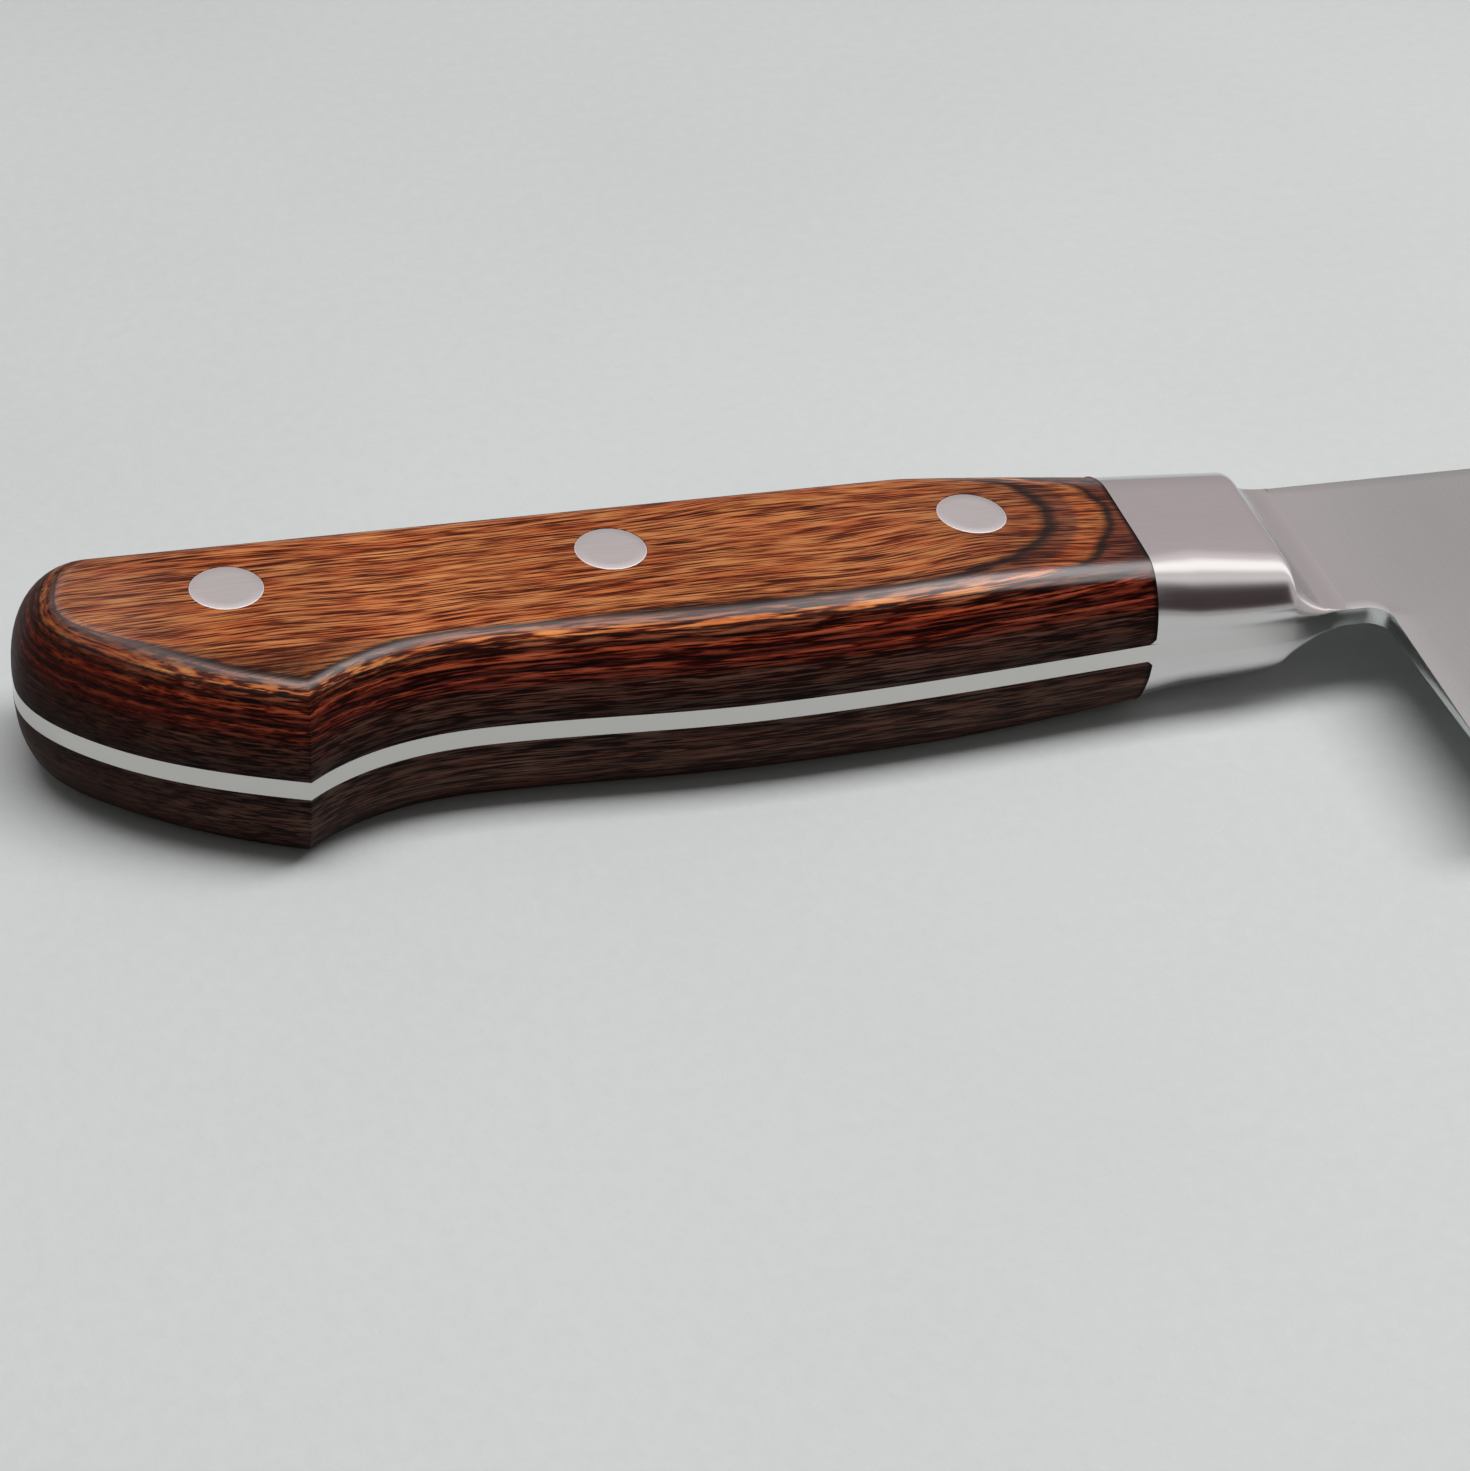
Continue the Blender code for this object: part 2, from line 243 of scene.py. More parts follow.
def ramp(tree, value, stops):
    node = addNode(tree, "ValToRGB")
    elements = node.color_ramp.elements
    while len(elements) > 1:
        elements.remove(elements[-1])
    elements[0].position = stops[0][0]
    elements[0].color = (*stops[0][1], 1)
    for position, color in stops[1:]:
        elements.new(position).color = (*color, 1)
    feed(tree, value, node.inputs[0])
    return node.outputs[0]


def greyRamp(tree, value, stops):
    return ramp(tree, value, [(position, (tone, tone, tone)) for position, tone in stops])


def mixColor(tree, factor, first, second, blend="MIX"):
    node = addNode(tree, "Mix")
    node.data_type = "RGBA"
    node.blend_type = blend
    feed(tree, factor, node.inputs[0])
    for value, socket in ((first, node.inputs[6]), (second, node.inputs[7])):
        feed(tree, value if hasattr(value, "links") else (*value, 1), socket)
    return node.outputs[2]


def bump(tree, shader, height, strength, distance, socket="Normal"):
    node = addNode(tree, "Bump")
    node.inputs["Strength"].default_value = strength
    node.inputs["Distance"].default_value = distance
    tree.links.new(height, node.inputs["Height"])
    tree.links.new(node.outputs[0], shader.inputs[socket])


def tinted(tree, color, tone):
    return mixColor(tree, 1.0, color, tone, "MULTIPLY")


def srgb(*channels):
    return tuple(((c / 255 + 0.055) / 1.055) ** 2.4 if c > 10 else c / 255 / 12.92 for c in channels)


# Where a point of the surface lies: its station, how far it is from the line of the rivets towards the
# edge, its height above the middle plane, and how much thinner the handle has become there on one side
def handleSpace(tree):
    along, across, height = separated(tree, millimetres(tree))
    station = plus(tree, along, knife["length"] / 2)
    run = calculate(tree, "MAXIMUM", minus(tree, station, knife["taperStart"]), 0.0)
    run = calculate(tree, "DIVIDE", run, knife["bolsterFront"] - knife["taperStart"])
    taper = times(tree, calculate(tree, "POWER", run, knife["taperPower"]),
                  knife["halfHandle"] - knife["bolsterHalf"])
    aside = minus(tree, knife["bladeHeight"] / 2 - knife["rivetDepth"], across)
    return station, aside, height, taper


wood = {
    # heights above the tang, in mm, with the colour of the veneer there
    "upperVeneers": (
        (0.0, (62, 36, 32)), (1.5, (48, 28, 24)), (2.0, (40, 25, 20)), (2.4, (60, 32, 26)),
        (2.7, (50, 28, 22)), (3.3, (66, 33, 26)), (4.0, (52, 27, 21)), (4.4, (76, 39, 31)),
        (4.7, (42, 20, 14)), (5.2, (88, 31, 20)), (5.6, (58, 16, 11)), (5.95, (118, 44, 28)),
        (6.25, (48, 13, 9)), (6.5, (34, 8, 6)), (6.8, (92, 32, 21)), (7.1, (44, 11, 7)),
        (7.4, (112, 42, 25)), (7.6, (126, 50, 29)), (7.85, (70, 26, 17)), (8.1, (38, 15, 10)),
        (8.3, (100, 46, 30)), (8.43, (104, 48, 30)), (8.47, (42, 20, 14)), (8.53, (48, 24, 16)),
        (8.58, (160, 86, 46)), (8.76, (170, 90, 48)), (8.83, (122, 64, 42)), (8.96, (112, 58, 40)),
        (9.0, (50, 28, 22)), (9.07, (46, 26, 20)), (9.13, (152, 82, 47)),
    ),
    # the veneers of the lower scale, darker than the upper scale's, with painted shade: the dark bands near
    # its bottom face, by the floor, stand in for the shade under the handle
    "lowerVeneersShaded": (
        (0.0, (70, 42, 35)), (1.2, (64, 37, 30)), (1.9, (46, 27, 22)), (2.4, (72, 40, 32)),
        (3.0, (54, 31, 24)), (3.7, (76, 42, 33)), (4.4, (54, 31, 25)), (4.9, (74, 42, 33)),
        (5.4, (44, 25, 19)), (6.0, (68, 36, 28)), (6.7, (46, 24, 18)), (7.3, (50, 25, 19)),
        (8.0, (26, 13, 9)), (8.6, (34, 16, 10)), (9.0, (60, 28, 18)), (9.13, (150, 83, 53)),
    ),
    # the height that a ramp of heights spans
    "rampSpan": 10.0,
    # the faces are slightly crowned, so the veneers run out on them in rings: its fall by the square of
    # the distance from the rivets, before and after these stations
    "crownChange": (48.0, 78.0),
    "crownFall": (0.0050, 0.0069),
    "crownLimit": 0.6,
    # the heights between which the crown takes hold
    "crownTop": (8.35, 9.65),
    # the crown falls away over the butt, further forward on the side of the edge
    "buttFall": (5.9, 3.9),
    "buttBend": -0.13,
    # how far the veneers waver, in mm, and how much of that is left above these levels
    "slowWaver": 0.50,
    "fineWaver": 0.34,
    "calmLevels": (7.9, 8.7),
    "topCalm": 0.28,
    # noise per mm, along the handle, across it and through its thickness
    "slowSpan": (0.07, 0.16, 0.25),
    "fraySpan": (0.6, 3.6, 3.4),
    "swaySpan": (0.035, 0.06, 0.06),
    "bundleSpan": (0.15, 0.95, 0.9),
    "driftSpan": (0.12, 0.45, 0.4),
    "driftMove": (7.0, 3.0, 0.0),
    "lacquerSpan": (0.25, 0.9, 0.9),
    # threads per mm, how far apart two neighbours can start, and their noise along and across
    "threadRows": 3.6,
    "threadStart": 90.0,
    "fibreSpan": (0.20, 4.2),
    "poreSpan": (0.15, 4.8),
    "poreMove": (3.0, 9.0, 0.0),
    "sway": 5.0,
    "grainRise": 0.03,
    # the heights between which a wall turns into a face
    "wallTop": (9.4, 9.66),
    "fibreShare": 1.35,
    "bundleShare": 0.40,
    # the fibres on a wall, weaker over the end grain of the butt and stronger after these stations
    "endGrain": (9.0, 24.0),
    "wallFibres": (-0.45, 0.7),
    "fibreTones": (
        (0.30, (0.12, 0.07, 0.06)), (0.38, (0.32, 0.18, 0.14)), (0.44, (0.66, 0.49, 0.43)),
        (0.49, (0.96, 0.93, 0.93)), (0.54, (1.18, 1.32, 1.38)), (0.60, (1.44, 1.84, 1.98)),
        (0.70, (1.70, 2.40, 2.60)),
    ),
    "poreTones": ((0.34, (0.18, 0.09, 0.07)), (0.395, (1.0, 1.0, 1.0))),
    "driftTones": ((0.34, (0.98, 0.80, 0.68)), (0.5, (1.0, 1.0, 0.96)), (0.66, (1.03, 1.12, 1.02))),
    # the walls are darker up to these stations, and so is the last bit before the bolster
    "endReach": (4.0, 25.0),
    "endShade": 0.58,
    "jointReach": (0.5, 0.15),
    "jointShade": 0.22,
    "roughness": 0.5,
    "specular": 0.05,
    "coatRoughness": 0.09,
    "coatIor": 2.6,
    # strength and height, in metres
    "fibreBump": (0.20, 0.0001),
    "lacquerBump": (0.10, 0.0003),
    # how far the lacquer is polished, by height up the rounded edge as a share of the span
    "edgeShine": (
        (0.0, 0.05), (0.84, 0.07), (0.875, 0.80), (0.90, 1.0), (0.954, 1.0), (0.962, 0.40), (0.969, 0.06),
    ),
    # that band lies a little lower at the butt
    "buttShineReach": (10.0, 20.0),
    "buttShineDrop": -0.08,
    # how strong it is by station
    "polish": (
        (0, 0.50), (20, 0.45), (32, 0.62), (42, 0.36), (62, 0.36), (76, 0.55), (92, 1.0), (109, 0.95),
    ),
    # and the height where it ends on the wall, over this many mm and down to this share
    "shineFoot": ((0, 9.25), (16, 9.22), (26, 9.08), (60, 9.0), (78, 8.85), (92, 8.6), (109, 8.5)),
    "footBlend": 0.3,
    "footShine": 0.12,
    # the edge on the side of the spine shines less, by distance from the rivets
    "spineReach": (-7.0, -4.0),
    "spineShine": 0.15,
    # the wood is darker in places along the handle
    "faceTone": (
        (0, 0.94), (13, 0.86), (22, 1.0), (27, 0.88), (32, 1.16), (38, 1.12), (45, 1.0), (70, 0.93),
        (85, 0.95), (91, 0.82), (97, 0.68), (104, 0.76), (109, 0.76),
    ),
    "wallTone": (
        (0, 1.2), (14, 1.15), (21, 0.88), (30, 0.84), (38, 1.0), (46, 1.25), (54, 1.0), (66, 1.05),
        (75, 1.12), (82, 1.22), (88, 1.22), (96, 1.0), (109, 1.0),
    ),
}


# How high in the block a point of the surface lies, once the crown of the face is counted
def veneerHeight(tree, station, aside, height, taper):
    square = times(tree, aside, aside)
    belly = times(tree, aside, calculate(tree, "MAXIMUM", aside, 0.0))
    rate = remap(tree, station, *wood["crownChange"], *wood["crownFall"])
    bent = timesPlus(tree, belly, wood["buttBend"], station)
    butt = remap(tree, bent, *wood["buttFall"], 0.0, wood["crownLimit"])
    fall = plus(tree, times(tree, square, rate), butt)
    fall = calculate(tree, "MINIMUM", fall, wood["crownLimit"])
    nearTop = remap(tree, timesPlus(tree, taper, 0.5, height), *wood["crownTop"])
    return minus(tree, height, times(tree, fall, nearTop))


# Space along the grain, which rises a little to the front and wavers
def grainSpace(tree):
    along, across, through = separated(tree, millimetres(tree))
    sway = noise(tree, millimetres(tree, wood["swaySpan"]), 1.0)
    across = timesPlus(tree, centred(tree, sway), wood["sway"], across)
    across = timesPlus(tree, along, -wood["grainRise"], across)
    return joined(tree, (along, across, through))


# Threads that lie side by side along one axis, each with a start of its own
def threads(tree, grain, axis, stretch, detail, roughness, move):
    parts = separated(tree, grain)
    row = calculate(tree, "FLOOR", times(tree, parts[axis], wood["threadRows"]))
    start = addNode(tree, "TexWhiteNoise")
    start.noise_dimensions = "1D"
    tree.links.new(row, start.inputs["W"])
    parts[0] = timesPlus(tree, start.outputs["Value"], wood["threadStart"], parts[0])
    return noise(tree, stretched(tree, joined(tree, parts), stretch, move), detail, roughness)


# On the faces the threads lie side by side across the handle, on the walls they lie in its layers
def woodThreads(tree, grain, wall, length, fine, detail, roughness, move=(0, 0, 0)):
    face = threads(tree, grain, 1, (length, fine, fine * 0.3), detail, roughness, move)
    side = threads(tree, grain, 2, (length, fine * 0.2, fine), detail, roughness, move)
    return between(tree, face, side, wall)


# A value that changes along the handle, from its stops by station
def alongHandle(tree, station, stops, divisor=1.0):
    length = knife["handleLength"]
    share = calculate(tree, "DIVIDE", station, length)
    return greyRamp(tree, share, [(stop / length, value / divisor) for stop, value in stops])


def makeWood(name, veneers, side):
    made, tree, shader = newMaterial(name)
    station, aside, height, taper = handleSpace(tree)
    height = times(tree, height, side)
    level = veneerHeight(tree, station, aside, height, taper)
    # where the point would lie if the handle kept its full thickness
    fullHeight = plus(tree, height, taper)
    span = wood["rampSpan"]
    # The veneers waver slowly along the handle and fray finely where they are cut, less so on the faces
    slow = noise(tree, millimetres(tree, wood["slowSpan"]))
    fray = noise(tree, millimetres(tree, wood["fraySpan"]), 4.0, 0.7)
    waver = times(tree, centred(tree, slow), wood["slowWaver"])
    waver = timesPlus(tree, centred(tree, fray), wood["fineWaver"], waver)
    calm = remap(tree, level, *wood["calmLevels"], 1.0, wood["topCalm"])
    waver = timesPlus(tree, waver, calm, level)
    color = ramp(tree, calculate(tree, "DIVIDE", waver, span), [(h / span, srgb(*c)) for h, c in veneers])
    # Fibres that run with the handle, in broad and fine bundles, stronger on the walls along it
    grain = grainSpace(tree)
    wall = remap(tree, fullHeight, *wood["wallTop"], 1.0, 0.0)
    fibre = woodThreads(tree, grain, wall, *wood["fibreSpan"], 2.0, 0.5)
    bundle = noise(tree, stretched(tree, grain, wood["bundleSpan"]), 3.0, 0.6)
    mixed = timesPlus(tree, centred(tree, fibre), wood["fibreShare"], 0.5)
    mixed = timesPlus(tree, centred(tree, bundle), wood["bundleShare"], mixed)
    wallFibres = remap(tree, station, *wood["endGrain"], *wood["wallFibres"])
    strength = timesPlus(tree, wall, wallFibres, 1.0)
    mixed = timesPlus(tree, centred(tree, mixed), strength, 0.5)
    color = tinted(tree, color, ramp(tree, mixed, wood["fibreTones"]))
    # Open pores, long and dark, and a drift between red and yellow
    pores = woodThreads(tree, grain, wall, *wood["poreSpan"], 1.0, 0.5, wood["poreMove"])
    color = tinted(tree, color, ramp(tree, pores, wood["poreTones"]))
    drift = noise(tree, millimetres(tree, wood["driftSpan"], wood["driftMove"]))
    color = tinted(tree, color, ramp(tree, drift, wood["driftTones"]))
    # The walls are darker round the butt, and the joint to the bolster is dark
    endShade = remap(tree, station, *wood["endReach"], wood["endShade"], 0.0)
    endTone = timesPlus(tree, times(tree, wall, endShade), -1.0, 1.0)
    jointStart, jointEnd = [knife["handleLength"] - reach for reach in wood["jointReach"]]
    jointTone = remap(tree, station, jointStart, jointEnd, 1.0, wood["jointShade"])
    shade = times(tree, endTone, jointTone)
    faceTone = alongHandle(tree, station, wood["faceTone"])
    wallTone = alongHandle(tree, station, wood["wallTone"])
    shade = times(tree, shade, between(tree, faceTone, wallTone, wall))
    tree.links.new(tinted(tree, color, shade), shader.inputs["Base Color"])
    shader.inputs["Roughness"].default_value = wood["roughness"]
    shader.inputs["Specular IOR Level"].default_value = wood["specular"]
    # The lacquer is polished up along the rounded edges, most of all by the bolster, and duller elsewhere
    drop = remap(tree, station, *wood["buttShineReach"], wood["buttShineDrop"], 0.0)
    upEdge = calculate(tree, "DIVIDE", plus(tree, fullHeight, drop), span)
    polish = greyRamp(tree, upEdge, wood["edgeShine"])
    foot = alongHandle(tree, station, wood["shineFoot"], span)
    aboveFoot = timesPlus(tree, foot, -span, fullHeight)
    footCut = remap(tree, aboveFoot, 0.0, wood["footBlend"], wood["footShine"], 1.0)
    polish = times(tree, polish, footCut)
    polish = times(tree, polish, alongHandle(tree, station, wood["polish"]))
    spineCut = remap(tree, aside, *wood["spineReach"], wood["spineShine"], 1.0)
    tree.links.new(times(tree, polish, spineCut), shader.inputs["Coat Weight"])
    shader.inputs["Coat Roughness"].default_value = wood["coatRoughness"]
    shader.inputs["Coat IOR"].default_value = wood["coatIor"]
    bump(tree, shader, fibre, *wood["fibreBump"])
    lacquer = noise(tree, millimetres(tree, wood["lacquerSpan"]), 3.0)
    bump(tree, shader, lacquer, *wood["lacquerBump"], "Coat Normal")
    return made


steel = {
    # Each steel has its tones by station, in mm from the butt, its roughness behind and in front of the
    # blend, its scratches per mm and their depth, the spread of its tone, and its painted shade at the
    # edge, which stands in for the darker reflection there
    "blade": {
        "tones": (
            (20, (0.600, 0.585, 0.570)), (108, (0.640, 0.622, 0.608)), (112, (0.655, 0.640, 0.630)),
            (129, (0.600, 0.600, 0.595)), (136, (0.565, 0.590, 0.580)), (146, (0.515, 0.548, 0.535)),
        ),
        "roughness": (0.15, 0.27), "scratches": (14.0, 0.10, 14.0), "depth": 0.018, "spread": 0.02,
        "paintedEdgeShade": 0.92,
    },
    "bolster": {
        "tones": ((124, (0.618, 0.608, 0.608)), (130, (0.610, 0.605, 0.600))),
        "roughness": (0.15, 0.27), "scratches": (0.06, 3.0, 3.0), "depth": 0.006, "spread": 0.02,
        "paintedEdgeShade": 1.0,
    },
    "rivet": {
        "tones": ((0, (0.715, 0.705, 0.702)), (75, (0.725, 0.715, 0.712)), (110, (0.760, 0.755, 0.752))),
        "roughness": (0.30, 0.30), "scratches": (0.25, 5.0, 5.0), "depth": 0.05, "spread": 0.05,
        "paintedEdgeShade": 1.0,
    },
    # the bolster and the blade run into each other, so both turn from one polish to the other here
    "blend": (122.0, 133.0),
    # the painted shade runs over these distances from the line of the rivets towards the edge, in mm
    "paintedEdgeReach": (-11.0, 26.0),
    "cloudSpan": (0.06, 0.06, 0.06),
    "cloudShare": 0.8,
    "wear": (0.88, 1.12),
    "bumpHeight": 0.0001,
    # the rim of a rivet lies this far below its top, in mm; there it gets a painted highlight
    "rimHighlightReach": (0.025, 0.012),
    "rimHighlightTone": (0.90, 0.86, 0.84),
    "rimHighlightShare": 0.8,
    "rimHighlightMetal": -0.7,
}


# Ground steel: fine scratches along one direction, with a slow change in tone
def makeSteel(name, look, paintedRim=False):
    made, tree, shader = newMaterial(name)
    scratches = noise(tree, millimetres(tree, look["scratches"]), 3.0, 0.6)
    clouds = noise(tree, millimetres(tree, steel["cloudSpan"]))
    station, aside, height, taper = handleSpace(tree)
    share = calculate(tree, "DIVIDE", station, knife["length"])
    color = ramp(tree, share, [(stop / knife["length"], tone) for stop, tone in look["tones"]])
    mixed = timesPlus(tree, centred(tree, clouds), steel["cloudShare"], scratches)
    shade = greyRamp(tree, mixed, [(0.25, 1 - look["spread"]), (0.75, 1 + look["spread"])])
    color = tinted(tree, color, shade)
    # painted shade: a little darker towards the edge, standing in for the reflection that darkens there
    down = remap(tree, aside, *steel["paintedEdgeReach"])
    color = tinted(tree, color, greyRamp(tree, down, [(0.0, 1.0), (1.0, look["paintedEdgeShade"])]))
    shader.inputs["Metallic"].default_value = 1.0
    if paintedRim:
        # painted highlight: the rim is made paler and less metallic, so it looks lit from every side,
        # standing in for the glint off its edge
        rimLow, rimHigh = [knife["halfHandle"] - reach for reach in steel["rimHighlightReach"]]
        fullHeight = plus(tree, calculate(tree, "ABSOLUTE", height), taper)
        rim = remap(tree, fullHeight, rimLow, rimHigh, 1.0, 0.0)
        color = mixColor(tree, times(tree, rim, steel["rimHighlightShare"]), color, steel["rimHighlightTone"])
        metal = timesPlus(tree, rim, steel["rimHighlightMetal"], 1.0)
        tree.links.new(metal, shader.inputs["Metallic"])
    tree.links.new(color, shader.inputs["Base Color"])
    polish = remap(tree, station, *steel["blend"], *look["roughness"])
    polish = times(tree, polish, remap(tree, scratches, 0.2, 0.8, *steel["wear"]))
    tree.links.new(polish, shader.inputs["Roughness"])
    bump(tree, shader, scratches, look["depth"], steel["bumpHeight"])
    return made


upperWood = makeWood("lacqueredLaminateUpper", wood["upperVeneers"], 1.0)
# the lower scale's wood carries painted shade in its veneers
lowerWood = makeWood("lacqueredLaminateLower", wood["lowerVeneersShaded"], -1.0)
bladeSteel = makeSteel("satinBladeSteel", steel["blade"])
bolsterSteel = makeSteel("polishedBolsterSteel", steel["bolster"])
# the rivets carry a painted highlight on their rims
rivetSteel = makeSteel("satinRivetSteel", steel["rivet"], True)
print("materials made")


def addToScene(name, data):
    made = bpy.data.objects.new(name, data)
    bpy.context.scene.collection.objects.link(made)
    return made


def addObject(shape, name):
    mesh = bpy.data.meshes.new(name)
    shape.to_mesh(mesh)
    shape.free()
    return addToScene(name, mesh)


def weld(shape, distance=weldDistance):
    bmesh.ops.remove_doubles(shape, verts=shape.verts, dist=distance)


def shadeCrisp(mesh, angle):
    mesh.shade_smooth()
    mesh.set_sharp_from_angle(angle=math.radians(angle))


def openEdges(shape):
    return [edge for edge in shape.edges if edge.is_boundary]


# Finishing a piece: normals outward, smooth with crisp edges, riding on the one body
def finishPiece(shape, name, material, replaced, angle=sharpAngle):
    weld(shape, weldDistance / 2)
    bmesh.ops.dissolve_degenerate(shape, dist=0.0002 * mm, edges=shape.edges)
    bmesh.ops.recalc_face_normals(shape, faces=shape.faces)
    piece = addObject(shape, name)
    shadeCrisp(piece.data, angle)
    piece.data.materials.append(material)
    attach(piece, "root")
    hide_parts(*replaced)
    return piece


# A skin of rows and columns: a grid whose vertices are set where the piece wants them
def gridSkin(shape, rows):
    across = len(rows[0]) - 1
    along = len(rows) - 1
    made = bmesh.ops.create_grid(shape, x_segments=along, y_segments=across, size=1.0)
    for vertex in made["verts"]:
        column = round((vertex.co.x + 1) / 2 * along)
        row = round((vertex.co.y + 1) / 2 * across)
        vertex.co = rows[column][row]


# The same skin with its seam welded and its two ends closed
def closedSkin(rows):
    shape = bmesh.new()
    gridSkin(shape, rows)
    weld(shape)
    bmesh.ops.holes_fill(shape, edges=openEdges(shape), sides=0)
    return shape


# A wall from the tang up to the crown: a quarter ellipse
def quarterWall(foot, crown, base, top, steps):
    points = []
    for step in range(steps + 1):
        angle = math.pi / 2 * step / steps
        point = foot.lerp(crown, 1 - math.cos(angle))
        points.append((point.x, point.y, base + (top - base) * math.sin(angle)))
    return points


# One closed section of the handle: up the belly side, over the face, down the spine side and back
def handleColumn(bellyFoot, bellyCrown, spineFoot, spineCrown, base, steps, flats, topAt=halfThickness):
    points = quarterWall(bellyFoot, bellyCrown, base, topAt(bellyCrown.x), steps)
    for step in range(1, flats):
        point = bellyCrown.lerp(spineCrown, step / flats)
        points.append((point.x, point.y, topAt(point.x)))
    points += quarterWall(spineFoot, spineCrown, base, topAt(spineCrown.x), steps)[::-1]
    for step in range(1, flats + 1):
        point = spineFoot.lerp(bellyFoot, step / flats)
        points.append((point.x, point.y, base))
    return points


# A knot moved inwards, square to its heading
def insetKnot(one, inset):
    angle = math.radians(one[2])
    return (one[0] + inset * math.sin(angle), one[1] - inset * math.cos(angle), one[2], one[3])


scale = {
    "buttInset": 5.2,
    "bellyInset": 6.0,
    "hookInset": 4.6,
    "hookLean": 0.5,
    "waistInset": 4.8,
    "palmInset": 5.2,
    "frontInset": 4.9,
    "spineInset": 5.25,
    "spineFrontInset": 8.0,
    "cornerStation": 9.4,
    "leanDrop": 4.1,
    "toeRadius": 0.6,
    "glueLine": 0.06,
    "wallSteps": 16,
    "flatSteps": 10,
    "toeShares": (0.3, 0.5, 0.65, 0.77, 0.86, 0.93, 0.98),
    "rivetClearance": 0.03,
    "seatReach": (0.5, 12.0),
    "seatSegments": 96,
}


# How far the foot lifts off the tang at the rounded front corner
def toeLift(station):
    radius = scale["toeRadius"]
    past = station - (knife["handleLength"] - radius)
    if past <= 0:
        return 0.0
    return radius - math.sqrt(max(0.0, radius ** 2 - min(past, radius) ** 2))


# The sections of a scale from butt to front, each by the feet and the crowns of its two walls
def scaleColumns():
    hook = buttKnots[-1]
    lean = buttCorner[1]
    crownButt = [insetKnot(buttKnots[0], scale["buttInset"]), insetKnot(buttKnots[1], scale["bellyInset"]),
                 (hook[0] + scale["hookLean"], hook[1] - scale["hookInset"], hook[2], hook[3])]
    crownGrip = [crownButt[-1]]
    for one, inset in zip(gripKnots[1:], (scale["waistInset"], scale["palmInset"], scale["frontInset"])):
        crownGrip.append((one[0], one[1] - inset, one[2], one[3]))
    crownCorner = [knot(crownButt[0][0], crownButt[0][1], -90),
                   knot(lean[0] + scale["buttInset"], lean[1] + scale["leanDrop"], lean[2]),
                   knot(scale["cornerStation"], scale["spineInset"], 0)]
    feet = bellyButt + bellyGrip[1:]
    crowns = sampleOutline(crownButt, buttSteps) + sampleOutline(crownGrip, gripSteps)[1:]
    cornerCrowns = sampleOutline(crownCorner, cornerSteps)
    columns = []
    for index, (foot, crown) in enumerate(zip(feet, crowns)):
        if index <= buttSteps[0]:
            spineFoot, spineCrown = spineButt[index], cornerCrowns[index]
        else:
            taperLength = knife["handleLength"] - knife["taperStart"]
            run = max(0.0, (crown.x - knife["taperStart"]) / taperLength)
            inset = scale["spineInset"] + (scale["spineFrontInset"] - scale["spineInset"]) * run
            spineFoot, spineCrown = Vector((foot.x, 0.0)), Vector((crown.x, inset))
        columns.append((foot, crown, spineFoot, spineCrown))
    # closer columns where the toe rounds off at the front
    last = columns.pop()
    before = columns[-1]
    for share in scale["toeShares"]:
        columns.append(tuple(a.lerp(b, share) for a, b in zip(before, last)))
    columns.append(last)
    return columns


def makeScale(name, side, material, replaced):
    rows = []
    for column in scaleColumns():
        base = knife["halfTang"] + scale["glueLine"] + toeLift(column[0].x)
        points = handleColumn(*column, base, scale["wallSteps"], scale["flatSteps"])
        rows.append([place(x, y, z * side) for x, y, z in points])
    return finishPiece(closedSkin(rows), name, material, replaced)


# Cuts the round seats of the rivets
def boreSeats(piece, radius, low, high):
    shape = bmesh.new()
    for station in knife["rivetStations"]:
        turned = bmesh.ops.create_cone(
            shape, cap_ends=True, cap_tris=False, segments=scale["seatSegments"],
            radius1=radius * mm, radius2=radius * mm, depth=(high - low) * mm)
        middle = place(station, knife["rivetDepth"], (low + high) / 2)
        bmesh.ops.translate(shape, verts=turned["verts"], vec=middle)
    cutter = addObject(shape, "seatCutter")
    modifier = piece.modifiers.new("seats", "BOOLEAN")
    modifier.operation = "DIFFERENCE"
    modifier.solver = "EXACT"
    modifier.object = cutter
    bpy.context.view_layer.update()
    evaluated = piece.evaluated_get(bpy.context.evaluated_depsgraph_get())
    cut = bpy.data.meshes.new_from_object(evaluated)
    piece.modifiers.clear()
    piece.data = cut
    shadeCrisp(cut, sharpAngle)
    bpy.data.objects.remove(cutter)


seatRadius = knife["rivetRadius"] + scale["rivetClearance"]
seatLow, seatHigh = scale["seatReach"]
upperScale = makeScale("upperScale", 1, upperWood, ["scale_upper"])
boreSeats(upperScale, seatRadius, seatLow, seatHigh)
lowerScale = makeScale("lowerScale", -1, lowerWood, ["scale_lower"])
boreSeats(lowerScale, seatRadius, -seatHigh, -seatLow)
print("scales made")

bolster = {
    "jointGap": 0.13,
    "edgeRadius": 1.0,
    "fillet": 7.0,
    "insetGrowth": 0.25,
    "insetReach": 0.30,
    "spineGrowth": 0.10,
    "camberWidth": 3.6,
    "camberSlope": 0.04,
    # the least height over the tang of a section with camber, and of any section
    "camberLeast": 0.5,
    "leastRise": 0.002,
    "bodySteps": 24,
    "edgeSteps": 6,
    "filletSteps": 34,
    "wallSteps": 22,
    "flatSteps": 24,
}


